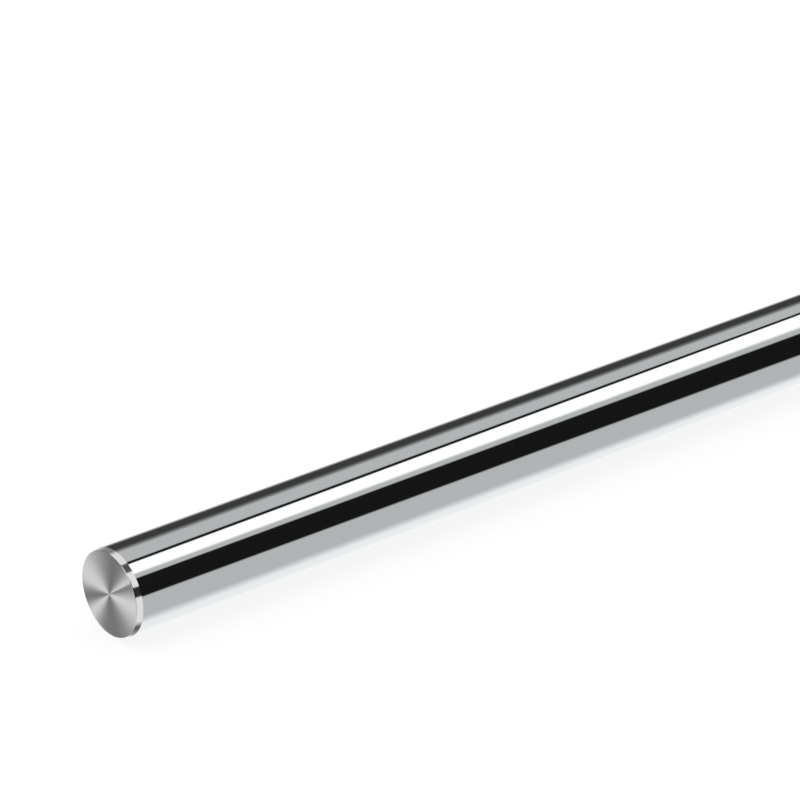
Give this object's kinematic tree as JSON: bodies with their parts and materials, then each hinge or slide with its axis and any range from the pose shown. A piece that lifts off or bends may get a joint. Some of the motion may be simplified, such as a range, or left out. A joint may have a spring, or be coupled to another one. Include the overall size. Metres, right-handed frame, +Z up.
{
  "type": "linear shaft",
  "caption": "Solid round linear motion shaft, ground and hard-chromed, with square faced ends and shallow lead-in chamfers; linear bushings slide along it.",
  "frame": {"origin": "centre of the near end face, on the shaft's axis", "axes": "+X along the shaft's axis, from the near end to the far end; +Z up, with the shaft lying on its side"},
  "size_m": [0.3, 0.02, 0.02],
  "materials": {
    "hard_chrome": "hard chrome, ground and polished along the length; the faced ends show fine turning marks"
  },
  "bodies": {
    "root": {"shaft": "hard_chrome"}
  },
  "joints": []
}
